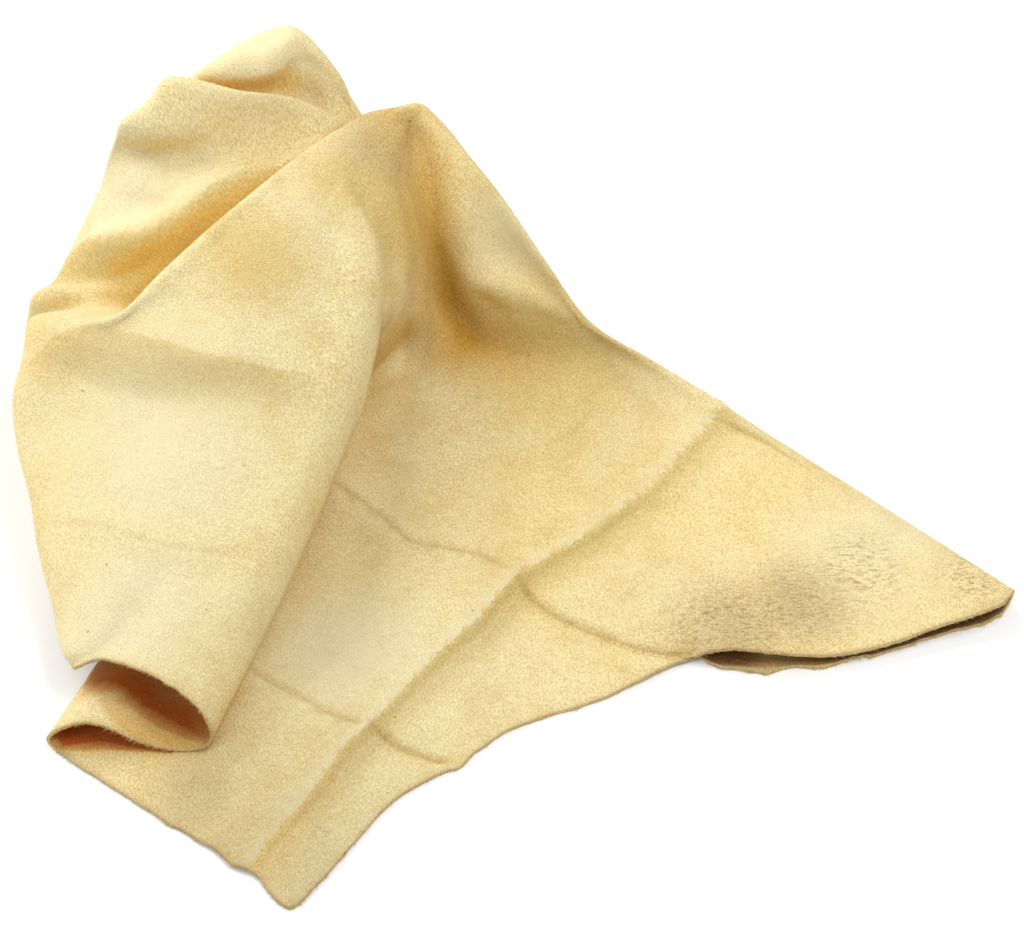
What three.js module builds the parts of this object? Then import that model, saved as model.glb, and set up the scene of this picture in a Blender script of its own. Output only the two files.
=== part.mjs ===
// Chamois leather: one oil-tanned skin, pinched at one point and let down in folds on a table.
// Millimetres, +Z up. The table is z = 0 and the origin is under the middle of the heap.
// The skin is a loft. Fold lines run from the pinch to the cut edge, in their order round the skin,
// and closed sections through them make the middle of the leather, which then gets its thickness.

import * as THREE from "three";

// The leather
const SKIN_THICKNESS = 1.5;
const SEAT_DEPTH = 0.5; // pressed flat where the skin lies on the table
const LAYER_GAP = 1.5; // air between a layer and the one that it lies on

// How far the heap reaches from the origin, over the table
const FRONT = 229; // front corner of the panel
const BACK = 227; // foot of the bunch at the back
const LEFT = 206; // foot of the bunch at the left
const RIGHT = 206; // fold at the tip of the wing

// Heights above the table
const PEAK = 82; // top of the flap and of the tent beside it, just below the pinch
const HUMP = 98; // roll at the back of the bunch
const LIP = 94; // fold in front of that roll
const SHELF = 69; // lowest fold of the bunch
const HOLLOW = 37; // bottom of the valley between bunch and flap
const SHOULDER = 65; // ridge of the tent, halfway down to the wing
const POCKET = 11; // bottom of the valley between flap and tent
const FLAP_EDGE = 26; // front edge of the flap
const LOOP = 12; // loop that the flap makes at the left
const CREASE = 6; // packing crease that runs across the panel
const WING_TIP = 10; // rolled tip of the wing

// Heights of the middle of the leather where it lies on the table, and on another layer
const REST = SKIN_THICKNESS / 2 - SEAT_DEPTH;
const ON_LAYER = REST + SKIN_THICKNESS + LAYER_GAP;

// Where the skin is pinched, and the length from there in which all fold lines keep step
const PINCH = [-33, 132, PEAK + 1];
const IN_STEP = 120;

// Sections from the pinch to the edge, and how much they crowd towards the edge
const SECTIONS = 9;
const CROWDING = 1.5;

const vector = (point) => new THREE.Vector3(...point);

// Curves across the skin near the pinch, three to each face: the top of the flap, the flank between flap
// and valley, the slope from the valley up to the tent's ridge, and the side behind that ridge
const flapTop = [
  [[-63, 121, PEAK - 2], [-65, 102, PEAK - 3], [-60, 83, PEAK - 8.5]],
  [[-112, 62, PEAK - 3], [-82, 48, PEAK - 8], [-56, 50, PEAK - 15.5]],
  [[-136, 31, PEAK - 7.5], [-97, 12, PEAK - 10.5], [-56, 14, PEAK - 25]],
];
const flank = [
  [[-60, 83, PEAK - 8.5], [-48, 91, PEAK - 10], [-42, 97, PEAK - 12.5], [-37, 103, PEAK - 14]],
  [[-56, 50, PEAK - 15.5], [-45, 60, PEAK - 21], [-36, 73, POCKET + 41.5], [-29, 83, POCKET + 35]],
  [[-56, 14, PEAK - 25], [-46, 35, POCKET + 35], [-38, 56, POCKET + 14], [-23, 71, POCKET]],
];
const slope = [
  [[-37, 103, PEAK - 14], [-30, 107, PEAK - 9], [-25, 113, PEAK - 5.5], [-22, 118, PEAK - 4]],
  [[-29, 83, POCKET + 35], [-20, 87, SHOULDER - 9], [-8, 91, SHOULDER - 2.5], [0, 92, SHOULDER]],
  [[-23, 71, POCKET], [-9, 73, SHOULDER - 28], [10, 73, SHOULDER - 22], [21, 67, SHOULDER - 19.5]],
];
const behind = [
  [[-22, 118, PEAK - 4], [-18, 115, PEAK - 12], [-22, 124, PEAK - 14], [-29, 137, PEAK - 7]],
  [[0, 92, SHOULDER], [-2, 99, SHOULDER - 19], [0, 107, SHOULDER - 25], [-6, 121, SHOULDER - 18]],
  [[21, 67, SHOULDER - 19.5], [12, 89, SHOULDER - 38], [13, 98, SHOULDER - 45], [7, 106, SHOULDER - 36]],
];

// The points of these curves at one share of the way across
function across(curves, share) {
  return curves.map((curve) => new THREE.CatmullRomCurve3(curve.map(vector)).getPoint(share).toArray());
}

// The flap, from its crest to the fold at its right. Its left edge is rolled under.
const flap = {
  crest: [
    ...across(flapTop, 0),
    [-157, 9, PEAK - 15.5], [-179, 18, PEAK - 21], [-193, 21, PEAK - 27], [-192, 29, FLAP_EDGE + 14],
    [-190, 31, FLAP_EDGE - 8],
  ],
  brow: [
    ...across(flapTop, 0.1),
    [-168, 4, PEAK - 21.5], [-194, 7, FLAP_EDGE + 25], [-192, 10, FLAP_EDGE + 10], [-189, 11, FLAP_EDGE - 11],
  ],
  dip: [
    ...across(flapTop, 0.2),
    [-171, -8, PEAK - 29], [-197, -9, FLAP_EDGE + 20], [-195, -9, FLAP_EDGE + 6], [-191, -10, FLAP_EDGE - 14],
  ],
  side: [
    ...across(flapTop, 0.31),
    [-160, -16, PEAK - 33], [-192, -34, FLAP_EDGE + 12], [-187, -44, FLAP_EDGE - 2],
    [-183, -46, FLAP_EDGE - 17],
  ],
  roll: [
    ...across(flapTop, 0.43),
    [-140, -19, PEAK - 30], [-154, -48, PEAK - 38], [-176, -87, FLAP_EDGE + 3], [-176, -92, FLAP_EDGE - 6],
    [-171, -94, FLAP_EDGE - 15],
  ],
  corner: [
    ...across(flapTop, 0.55),
    [-122, -21, PEAK - 29], [-136, -72, FLAP_EDGE + 15], [-158, -121, FLAP_EDGE + 1],
    [-164, -130, FLAP_EDGE - 5], [-162, -130, FLAP_EDGE - 10],
  ],
  hook: [
    ...across(flapTop, 0.61),
    [-116, -22, PEAK - 29], [-129, -76, FLAP_EDGE + 14.5], [-155, -130, FLAP_EDGE - 0.5],
    [-160, -135, FLAP_EDGE - 5.5],
  ],
  left: [
    ...across(flapTop, 0.67),
    [-109, -23, PEAK - 28.5], [-121, -79, FLAP_EDGE + 14], [-148, -132, FLAP_EDGE],
    [-151, -135, FLAP_EDGE - 1],
  ],
  middle: [
    ...across(flapTop, 0.8),
    [-94, -23, PEAK - 28.5], [-104, -81, FLAP_EDGE + 13], [-134, -142, FLAP_EDGE + 0.5],
  ],
  right: [
    ...across(flapTop, 1),
    [-64, -18, FLAP_EDGE + 22], [-90, -96, FLAP_EDGE + 7], [-119, -149, FLAP_EDGE - 3],
  ],
  foldTop: [
    ...across(flank, 0.12),
    [-58, -10, FLAP_EDGE + 13], [-83, -93, FLAP_EDGE - 1], [-110, -156, FLAP_EDGE - 9],
  ],
  fold: [
    ...across(flank, 0.2),
    [-55, 6, FLAP_EDGE + 3], [-82, -87, FLAP_EDGE - 10], [-107, -159, FLAP_EDGE - 16.5],
  ],
  foldLow: [...across(flank, 0.27), [-56, 31, LOOP + 7], [-77, -35, LOOP - 4], [-111, -161, ON_LAYER + 0.8]],
};

// The layer between flap and panel, with the loop at its left
const pleat = {
  under: [...across(flank, 0.34), [-66, 23, LOOP + 1.5], [-99, -49, LOOP - 6], [-129, -160, ON_LAYER]],
  loopTop: [...across(flank, 0.4), [-80, 12, LOOP + 4], [-124, -79, LOOP + 2], [-156, -155, LOOP]],
  loop: [...across(flank, 0.46), [-85, 4, LOOP - 1.5], [-139, -89, LOOP - 4], [-170, -158, LOOP - 6]],
  loopLow: [...across(flank, 0.52), [-79, 11, ON_LAYER + 0.8], [-134, -89, REST + 1], [-167, -160, REST]],
};

// The panel that lies on the table: its straight cut edge, its corner and its wavy edge
const panel = {
  cutLeft: [...across(flank, 0.6), [-56, 37, ON_LAYER + 2], [-72, 9, ON_LAYER], [-129, 41 - FRONT, REST]],
  cutRight: [
    ...across(flank, 0.7),
    [-41, 54, ON_LAYER + 3], [-45, 28, ON_LAYER], [-66, -78, CREASE - 2.5], [-77, -137, CREASE - 2],
    [-92, 15 - FRONT, REST],
  ],
  corner: [
    ...across(flank, 0.8),
    [-33, 54, ON_LAYER + 4], [-38, 28, ON_LAYER], [-54, -81, CREASE - 2], [-62, -142, CREASE],
    [-75, -FRONT, REST],
  ],
  wave1: [
    ...across(flank, 0.9),
    [-23, 54, ON_LAYER + 5], [-27, 28, ON_LAYER], [-30, -59, CREASE - 1.5], [-33, -113, CREASE],
    [-37, 47 - FRONT, REST],
  ],
  wave2: [
    ...across(flank, 1),
    [-10, 58, ON_LAYER + 1], [-8, 28, ON_LAYER], [-10, -47, CREASE - 1.5], [-12, -96, CREASE],
    [-14, 63 - FRONT, REST],
  ],
  wave3: [
    ...across(slope, 0.17),
    [-8, 68, POCKET + 16], [4, 56, ON_LAYER + 0.5], [9, 25, ON_LAYER], [7, -75, CREASE - 0.5],
    [5, -150, REST],
  ],
  wave4: [
    ...across(slope, 0.38),
    [3, 63, POCKET + 23], [19, 52, ON_LAYER + 2], [31, 21, ON_LAYER + 1], [37, -60, CREASE - 1],
    [42, -134, REST],
  ],
  wave5: [
    ...across(slope, 0.6),
    [16, 60, POCKET + 21], [34, 47, ON_LAYER + 4], [49, 21, ON_LAYER + 1], [51, -39, CREASE],
    [75, -116, ON_LAYER],
  ],
};

// The wing at the right, folded in two: its upper layer, the fold and the layer below
const wing = {
  start: [
    ...across(slope, 0.7),
    [23, 57, POCKET + 20], [42, 45, WING_TIP - 1], [59, 20, WING_TIP - 5], [61, -39, CREASE - 1],
    [89, -116, WING_TIP - 2],
  ],
  middle: [
    ...across(slope, 0.8),
    [29, 55, POCKET + 18.5], [49, 44, WING_TIP + 4], [68, 18, WING_TIP - 3.5], [91, -39, WING_TIP - 5],
    [134, -116, WING_TIP - 5],
  ],
  end: [
    ...across(slope, 0.9),
    [34, 53, POCKET + 17], [55, 43, WING_TIP + 5], [78, 21, WING_TIP - 1], [116, -24, WING_TIP - 4],
    [RIGHT - 32, -100, WING_TIP - 2],
  ],
  foldTop: [
    ...across(slope, 1),
    [39, 50, POCKET + 15.5], [62, 40, WING_TIP + 7], [94, 16, WING_TIP + 2], [125, -15, WING_TIP - 1.5],
    [RIGHT - 6, -90, WING_TIP],
  ],
  fold: [
    ...across(behind, 0.12),
    [36, 63, POCKET + 7], [48, 57, WING_TIP + 1], [126, -8, WING_TIP - 4], [RIGHT, -84, WING_TIP - 4],
  ],
  foldLow: [
    ...across(behind, 0.22),
    [34, 65, POCKET + 2], [44, 58, WING_TIP - 2.5], [120, -14, REST + 1.5], [RIGHT - 5, -91, REST],
  ],
  lower1: [
    ...across(behind, 0.32),
    [32, 67, WING_TIP], [42, 57, WING_TIP - 4.5], [108, -21, REST + 0.8], [RIGHT - 55, -111, REST],
  ],
  lower2: [
    ...across(behind, 0.42),
    [30, 70, WING_TIP - 2], [38, 61, ON_LAYER + 1], [84, -34, REST], [119, -119, REST],
  ],
  lower3: [
    ...across(behind, 0.52),
    [28, 73, ON_LAYER + 3], [32, 66, ON_LAYER], [56, -4, REST], [83, -116, REST],
  ],
  lower4: [
    ...across(behind, 0.62),
    [26, 76, ON_LAYER + 2], [26, 70, REST + 2], [35, 33, REST], [42, -1, REST],
  ],
  lower5: [...across(behind, 0.72), [24, 79, ON_LAYER + 1], [21, 74, REST + 1.5], [20, 51, REST]],
  lower6: [...across(behind, 0.84), [21, 88, ON_LAYER + 2], [24, 84, REST + 1.5], [28, 78, REST]],
};

// The tent at the right of the pinch, and the back of the heap
const back = {
  tent: [...across(behind, 1), [18, 98, POCKET + 2], [25, 92, ON_LAYER + 1], [31, 86, REST]],
  wall1: [[-30, 138, PEAK - 10], [-18, 141, PEAK - 40], [-6, 144, 12], [2, 147, REST]],
  wall2: [[-36, 144, PEAK - 16], [-34, 167, PEAK - 46], [-30, 183, 10], [-24, 191, REST]],
  wall3: [[-43, 143, PEAK - 28], [-52, 168, PEAK - 48], [-56, 191, 14], [-58, 205, REST]],
};

// The bunch at the left, fold after fold from the back to the valley behind the flap
const bunch = {
  back: [
    [-50, 139, PEAK - 26], [-60, 140, PEAK - 26], [-69, 147, HUMP - 32], [-82, 183, HUMP - 26],
    [-87, 211, 28], [-89, BACK, REST],
  ],
  hump: [
    [-54, 136, PEAK - 20], [-64, 134, PEAK - 9], [-68, 140, HUMP - 10], [-92, 164, HUMP],
    [-119, 191, HUMP - 38], [-134, BACK - 6, REST],
  ],
  front: [
    [-54, 133, PEAK - 15], [-67, 134, PEAK - 2], [-87, 149, HUMP - 6], [-108, 146, HUMP - 5],
    [-125, 143, HUMP - 10], [-164, 166, 45], [-178, BACK - 40, REST],
  ],
  crease: [
    [-54, 130, PEAK - 14], [-69, 126, PEAK - 9], [-89, 135, LIP - 18], [-119, 137, LIP - 16],
    [-144, 141, LIP - 28], [-174, 146, 26], [-188, 156, REST],
  ],
  lip: [
    [-54, 129, PEAK - 11], [-64, 123, PEAK - 2], [-86, 128, LIP - 5], [-111, 126, LIP],
    [-136, 135, LIP - 1], [-160, 133, LIP - 30], [-181, 134, 26], [14 - LEFT, 135, REST],
  ],
  face: [
    [-55, 127, PEAK - 9], [-71, 120, PEAK - 4], [-94, 122, LIP - 15], [-129, 119, LIP - 12],
    [-160, 120, LIP - 16], [-178, 114, 38], [8 - LEFT, 111, REST],
  ],
  dimple: [
    [-56, 126, PEAK - 7.5], [-74, 115, PEAK - 7], [-103, 113, SHELF + 3], [-138, 112, SHELF - 2],
    [-163, 116, SHELF - 2], [-181, 100, 32], [6 - LEFT, 93, REST],
  ],
  shelf: [
    [-58, 124, PEAK - 7], [-76, 112, PEAK - 8.5], [-107, 103, SHELF], [-143, 90, SHELF - 4],
    [-166, 98, SHELF - 12], [-187, 80, 24], [3 - LEFT, 75, REST],
  ],
  shelfEdge: [
    [-60, 122, PEAK - 7], [-79, 110, PEAK - 9], [-115, 98, SHELF], [-136, 82, SHELF - 4],
    [-157, 72, SHELF - 11], [-180, 75, SHELF - 24], [6 - LEFT, 57, REST],
  ],
  sill: [
    [-62, 121, PEAK - 9], [-81, 106, PEAK - 14], [-115, 87, HOLLOW + 25], [-141, 68, HOLLOW + 17],
    [-163, 59, HOLLOW + 11], [-181, 55, HOLLOW + 7], [-196, 53, HOLLOW + 3], [3 - LEFT, 50, 18],
    [-LEFT, 49, REST],
  ],
  hollow: [
    [-64, 119, PEAK - 11], [-82, 103, HOLLOW + 18], [-114, 74, HOLLOW + 2], [-146, 50, HOLLOW - 2],
    [-163, 46, HOLLOW + 4], [-181, 42, HOLLOW + 5], [-195, 42, HOLLOW - 1], [5 - LEFT, 41, 8],
  ],
};

const foldLines = [flap, pleat, panel, wing, back, bunch].flatMap((group) => Object.values(group));

// Round folds get one more section line after each of these
const roundFolds = [
  flap.crest, flap.corner, flap.hook, flap.right, flap.foldTop, flap.fold, flap.foldLow,
  pleat.under, pleat.loopTop, pleat.loop, wing.foldTop, wing.fold, bunch.hump,
  bunch.front, bunch.crease, bunch.lip, bunch.hollow,
];

const pinch = vector(PINCH);

// Points along one fold line, one for each section, in step with its neighbours near the pinch
function pointsAlong(line) {
  const curve = new THREE.CatmullRomCurve3([pinch, ...line.map(vector)]);
  const length = curve.getLength();
  const points = [];
  for (let k = 1; k <= SECTIONS; k += 1) {
    const f = 1 - (1 - k / SECTIONS) ** CROWDING;
    const reach = IN_STEP * f + (length - IN_STEP) * f ** 3;
    points.push(curve.getPointAt(Math.min(reach / length, 1)));
  }
  return points;
}

// Places round the closed sections, as shares of a whole turn
const turns = foldLines.flatMap((line, i) => (roundFolds.includes(line) ? [i, i + 0.5] : [i]));
const along = foldLines.map(pointsAlong);

// The middle of the leather: closed sections through the fold lines, none lower than the resting layer
const middle = [pinch.clone()];
for (let k = 0; k < SECTIONS; k += 1) {
  const section = new THREE.CatmullRomCurve3(along.map((points) => points[k]), true);
  for (const turn of turns) {
    const point = section.getPoint(turn / foldLines.length);
    point.z = Math.max(point.z, REST);
    middle.push(point);
  }
}

const round = turns.length;
const at = (k, i) => 1 + k * round + (i % round);

const faces = [];
for (let i = 0; i < round; i += 1) {
  faces.push([0, at(0, i), at(0, i + 1)]);
  for (let k = 0; k < SECTIONS - 1; k += 1) {
    faces.push([at(k, i), at(k + 1, i), at(k + 1, i + 1)]);
    faces.push([at(k, i), at(k + 1, i + 1), at(k, i + 1)]);
  }
}

// Both sides of the leather, half a thickness from its middle, and flat where it meets the table
const middleShape = new THREE.BufferGeometry().setFromPoints(middle);
middleShape.setIndex(faces.flat());
middleShape.computeVertexNormals();
const normals = middleShape.getAttribute("normal");

function side(sign) {
  return middle.map((point, i) => {
    const normal = new THREE.Vector3().fromBufferAttribute(normals, i);
    const moved = point.clone().addScaledVector(normal, (sign * SKIN_THICKNESS) / 2);
    moved.z = Math.max(moved.z, 0);
    return moved;
  });
}

// One closed solid: the upper side, the lower side turned over, and the cut edge between them
const lower = middle.length;
const triangles = faces.flatMap(([a, b, c]) => [a, b, c, lower + a, lower + c, lower + b]);
for (let i = 0; i < round; i += 1) {
  const a = at(SECTIONS - 1, i);
  const b = at(SECTIONS - 1, i + 1);
  triangles.push(a, lower + a, lower + b);
  triangles.push(a, lower + b, b);
}

const skinShape = new THREE.BufferGeometry().setFromPoints([...side(1), ...side(-1)]);
skinShape.setIndex(triangles);
skinShape.computeVertexNormals();

const skin = new THREE.Mesh(
  skinShape,
  new THREE.MeshStandardMaterial({ color: 0xe0c48c, roughness: 0.95, metalness: 0 }),
);
skin.name = "chamois_skin";

const part = new THREE.Group();
part.add(skin);

export default part;
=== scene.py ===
import math

import bpy
import numpy as np
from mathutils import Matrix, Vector, noise
from mathutils.bvhtree import BVHTree


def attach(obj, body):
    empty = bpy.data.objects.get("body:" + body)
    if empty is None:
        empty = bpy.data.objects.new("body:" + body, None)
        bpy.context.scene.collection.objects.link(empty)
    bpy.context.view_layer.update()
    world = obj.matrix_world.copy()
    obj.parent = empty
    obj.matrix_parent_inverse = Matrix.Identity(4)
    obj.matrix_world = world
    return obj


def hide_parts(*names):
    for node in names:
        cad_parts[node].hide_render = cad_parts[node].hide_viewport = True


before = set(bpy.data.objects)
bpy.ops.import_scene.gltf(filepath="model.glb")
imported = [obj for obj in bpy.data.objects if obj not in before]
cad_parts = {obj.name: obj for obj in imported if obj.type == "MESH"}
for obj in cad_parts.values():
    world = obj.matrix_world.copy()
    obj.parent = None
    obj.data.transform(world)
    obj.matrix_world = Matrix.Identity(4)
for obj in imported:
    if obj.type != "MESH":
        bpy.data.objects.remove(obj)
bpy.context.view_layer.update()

bpy.ops.object.select_all(action="DESELECT")


# The skin
# One oil-tanned skin with a soft nap on both sides, pinched up at one point and let down on the table: a
# flap folds over at the left with a bunch of folds behind it, and a wing at the right lies in two. A flat
# grid becomes it: the grid's points move to their places on fold lines, which are given in millimetres.

MM = 0.001
SKIN_THICKNESS = 1.5
REST = SKIN_THICKNESS / 2
PINCH = (-33, 132, 83)
TINY = 1e-9


def curve_through(points, places, closed=False):
    """Points of a smooth curve through these points.

    Place 2.5 is halfway from the third point to the fourth.
    """
    knots = np.asarray(points, float)
    places = np.asarray(places, float)
    count = len(knots)
    if closed:
        before = np.floor(places).astype(int)
        p0, p1, p2, p3 = (knots[(before + k) % count] for k in (-1, 0, 1, 2))
    else:
        before = np.clip(np.floor(places).astype(int), 0, count - 2)
        first, last = 2 * knots[0] - knots[1], 2 * knots[-1] - knots[-2]
        longer = np.vstack([first, knots, last])
        p0, p1, p2, p3 = (longer[before + k] for k in (0, 1, 2, 3))
    share = (places - before)[:, None]
    d0, d1, d2 = (
        np.maximum(np.linalg.norm(b - a, axis=1), TINY)[:, None] ** 0.5
        for a, b in ((p0, p1), (p1, p2), (p2, p3))
    )
    leave = ((p1 - p0) / d0 - (p2 - p0) / (d0 + d1) + (p2 - p1) / d1) * d1
    arrive = ((p2 - p1) / d1 - (p3 - p1) / (d1 + d2) + (p3 - p2) / d2) * d1
    cubic = 2 * p1 - 2 * p2 + leave + arrive
    square = -3 * p1 + 3 * p2 - 2 * leave - arrive
    return ((cubic * share + square) * share + leave) * share + p1


# Sections across the skin near the pinch, each from one fold to the next
flap_top = (
    ((-63, 121, 80), (-65, 102, 79), (-60, 83, 73.5)),
    ((-112, 62, 79), (-82, 48, 74), (-56, 50, 66.5)),
    ((-136, 31, 74.5), (-97, 12, 68), (-56, 14, 57)),
)
flank = (
    ((-60, 83, 73.5), (-48, 91, 72), (-42, 97, 69.5), (-37, 103, 68)),
    ((-56, 50, 66.5), (-45, 60, 61), (-36, 73, 52.5), (-29, 83, 46)),
    ((-56, 14, 57), (-46, 35, 46), (-38, 56, 30), (-23, 71, 18)),
)
slope = (
    ((-37, 103, 68), (-30, 107, 73), (-25, 113, 76.5), (-22, 118, 78)),
    ((-29, 83, 46), (-20, 87, 56), (-8, 91, 62.5), (0, 92, 65)),
    ((-23, 71, 18), (-9, 73, 38), (10, 73, 43), (21, 67, 45.5)),
)
behind = (
    ((-22, 118, 78), (-18, 115, 70), (-22, 124, 68), (-29, 137, 75)),
    ((0, 92, 65), (-2, 99, 46), (0, 107, 40), (-6, 121, 47)),
    ((21, 67, 45.5), (12, 89, 27), (13, 98, 20), (7, 106, 29)),
)


def across(sections, share):
    """One point on each of these sections, at this share of the way across."""
    return [tuple(curve_through(s, [share * (len(s) - 1)])[0]) for s in sections]


# Fold lines from the pinch to the cut edge, in their order round the skin
fold_lines = {
    "flap crest": across(flap_top, 0)
    + [(-157, 9, 66.5), (-179, 18, 61), (-193, 21, 55), (-192, 29, 40), (-190, 31, 18)],
    "flap brow": across(flap_top, 0.1)
    + [(-168, 4, 60.5), (-194, 7, 51), (-192, 10, 36), (-189, 11, 15)],
    "flap dip": across(flap_top, 0.2)
    + [(-171, -8, 54), (-197, -9, 46), (-195, -9, 32), (-191, -10, 12)],
    "flap side": across(flap_top, 0.31)
    + [(-164, -23, 50), (-192, -34, 38), (-187, -44, 24), (-183, -46, 9)],
    "flap roll": across(flap_top, 0.43)
    + [(-154, -48, 44), (-176, -87, 29), (-176, -92, 20), (-171, -94, 11)],
    "flap corner": across(flap_top, 0.55)
    + [(-136, -72, 41), (-158, -121, 27), (-164, -130, 21), (-162, -130, 16)],
    "flap hook": across(flap_top, 0.61) + [(-129, -76, 40.5), (-155, -130, 25.5), (-160, -135, 20.5)],
    "flap left": across(flap_top, 0.67) + [(-121, -79, 40), (-148, -132, 26), (-151, -135, 25)],
    "flap middle": across(flap_top, 0.8) + [(-104, -81, 39), (-134, -142, 26.5)],
    "flap right": across(flap_top, 1) + [(-64, -18, 48), (-90, -96, 33), (-119, -149, 23)],
    "fold top": across(flank, 0.12) + [(-58, -10, 39), (-83, -93, 25), (-110, -156, 17)],
    "fold": across(flank, 0.2) + [(-55, 6, 29), (-82, -87, 16), (-107, -159, 9.5)],
    "fold low": across(flank, 0.27) + [(-56, 31, 19), (-77, -35, 8), (-111, -161, 4)],
    "pleat under": across(flank, 0.34) + [(-66, 23, 13.5), (-99, -49, 6), (-129, -160, 3.5)],
    "loop top": across(flank, 0.4) + [(-80, 12, 16), (-124, -79, 14), (-156, -155, 12)],
    "loop": across(flank, 0.46) + [(-85, 4, 10.5), (-139, -89, 8), (-170, -158, 6)],
    "loop low": across(flank, 0.52) + [(-79, 11, 4), (-134, -89, 2), (-167, -160, REST)],
    "panel cut left": across(flank, 0.6) + [(-56, 37, 5), (-72, 9, 3), (-129, -188, REST)],
    "panel cut right": across(flank, 0.7) + [(-41, 54, 6.5), (-45, 28, 3.5), (-92, -214, REST)],
    "panel corner": across(flank, 0.8) + [(-33, 54, 7), (-38, 28, 3.5), (-75, -229, REST)],
    "panel wave 1": across(flank, 0.9) + [(-23, 54, 8), (-27, 28, 3.5), (-37, -182, REST)],
    "panel wave 2": across(flank, 1) + [(-10, 58, 9), (-8, 28, 3.5), (-14, -166, REST)],
    "panel wave 3": across(slope, 0.17) + [(-8, 68, 28), (4, 56, 8.5), (9, 25, 3.5), (5, -150, REST)],
    "panel wave 4": across(slope, 0.38) + [(3, 63, 33), (19, 52, 9.5), (31, 21, 3.5), (42, -134, REST)],
    "panel wave 5": across(slope, 0.6)
    + [(16, 60, 32), (34, 47, 11), (49, 21, 4), (51, -39, 4), (75, -116, 3.5)],
    "wing start": across(slope, 0.7)
    + [(23, 57, 31), (42, 45, 12.5), (59, 20, 5), (61, -39, 4), (89, -116, 8)],
    "wing middle": across(slope, 0.8)
    + [(29, 55, 29.5), (49, 44, 14), (68, 18, 6.5), (91, -39, 5), (134, -116, 5)],
    "wing end": across(slope, 0.9)
    + [(34, 53, 28), (55, 43, 15), (78, 21, 9), (116, -24, 6), (175, -103, 7)],
    "wing fold top": across(slope, 1)
    + [(39, 50, 26.5), (62, 40, 17), (94, 16, 12), (125, -15, 8.5), (200, -93, 9)],
    "wing fold": across(behind, 0.12) + [(36, 63, 18), (48, 57, 11), (126, -8, 6), (206, -84, 6)],
    "wing fold low": across(behind, 0.22)
    + [(34, 65, 13), (44, 58, 7.5), (120, -14, 2.5), (201, -91, REST)],
    "wing lower 1": across(behind, 0.32)
    + [(32, 67, 10), (42, 57, 5.5), (108, -21, 1.5), (151, -111, REST)],
    "wing lower 2": across(behind, 0.42)
    + [(30, 70, 8), (38, 61, 4.5), (84, -34, REST), (119, -119, REST)],
    "wing lower 3": across(behind, 0.52)
    + [(28, 73, 6.5), (32, 66, 3.5), (56, -4, REST), (83, -116, REST)],
    "wing lower 4": across(behind, 0.62) + [(26, 76, 5), (26, 70, 2.5), (35, 33, REST), (42, -1, REST)],
    "wing lower 5": across(behind, 0.72) + [(24, 79, 4), (21, 74, 2), (20, 51, REST)],
    "wing lower 6": across(behind, 0.84) + [(21, 88, 5), (24, 84, 2), (28, 78, REST)],
    "back tent": across(behind, 1) + [(18, 98, 13), (25, 92, 4), (31, 86, REST)],
    "back wall 1": [(-30, 138, 72), (-18, 141, 42), (-6, 144, 12), (2, 147, REST)],
    "back wall 2": [(-36, 144, 66), (-34, 167, 36), (-30, 183, 10), (-24, 191, REST)],
    "back wall 3": [(-43, 143, 54), (-52, 168, 34), (-56, 191, 14), (-58, 205, REST)],
    "bunch back": [
        (-50, 139, 56), (-60, 140, 56), (-69, 147, 66), (-82, 183, 72), (-87, 211, 28), (-89, 227, REST),
    ],
    "bunch hump": [
        (-54, 136, 62), (-64, 134, 73), (-68, 140, 88), (-92, 164, 98), (-119, 191, 60), (-134, 221, REST),
    ],
    "bunch front": [
        (-54, 133, 67), (-67, 134, 80), (-87, 149, 92), (-108, 146, 93), (-125, 143, 88), (-164, 166, 45),
        (-178, 187, REST),
    ],
    "bunch crease": [
        (-54, 130, 68), (-69, 126, 73), (-89, 135, 76), (-119, 137, 78), (-144, 141, 66), (-174, 146, 26),
        (-188, 156, REST),
    ],
    "bunch lip": [
        (-54, 129, 71), (-64, 123, 80), (-86, 128, 89), (-111, 126, 94), (-136, 135, 93), (-160, 133, 64),
        (-181, 134, 26), (-192, 135, REST),
    ],
    "bunch face": [
        (-55, 127, 73), (-71, 120, 78), (-94, 122, 79), (-129, 119, 82), (-160, 120, 78), (-178, 114, 38),
        (-198, 111, REST),
    ],
    "bunch dimple": [
        (-56, 126, 74.5), (-74, 115, 75), (-103, 113, 72), (-138, 112, 67), (-163, 116, 67), (-181, 100, 32),
        (-200, 93, REST),
    ],
    "bunch shelf": [
        (-58, 124, 75), (-76, 112, 73.5), (-107, 103, 69), (-143, 90, 65), (-166, 98, 57), (-187, 80, 24),
        (-203, 75, REST),
    ],
    "bunch shelf edge": [
        (-60, 122, 75), (-79, 110, 73), (-115, 98, 68.5), (-136, 82, 63.5), (-157, 72, 56), (-180, 75, 45),
        (-200, 57, REST),
    ],
    "bunch sill": [
        (-62, 121, 73), (-81, 106, 68), (-115, 87, 62), (-141, 68, 54), (-163, 59, 48), (-181, 55, 44),
        (-196, 53, 40), (-203, 50, 18), (-206, 49, REST),
    ],
    "bunch hollow": [
        (-64, 119, 71), (-82, 103, 55), (-114, 74, 39), (-146, 50, 35), (-163, 46, 41), (-181, 42, 42),
        (-195, 42, 36), (-201, 41, 8),
    ],
}
line_names = list(fold_lines)

# The flat grid that becomes the skin, with the same count of steps each way
STEPS = 200
bpy.ops.mesh.primitive_grid_add(x_subdivisions=STEPS, y_subdivisions=STEPS, size=2)
skin = bpy.context.object
skin.name = "chamois_sheet"
skin.data.name = skin.name
side_count = STEPS + 1


def points_of_skin(what):
    """The places of all the skin's points, in metres, or their normals."""
    values = np.empty(len(skin.data.vertices) * 3)
    skin.data.vertices.foreach_get(what, values)
    return values.reshape(-1, 3)


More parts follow.
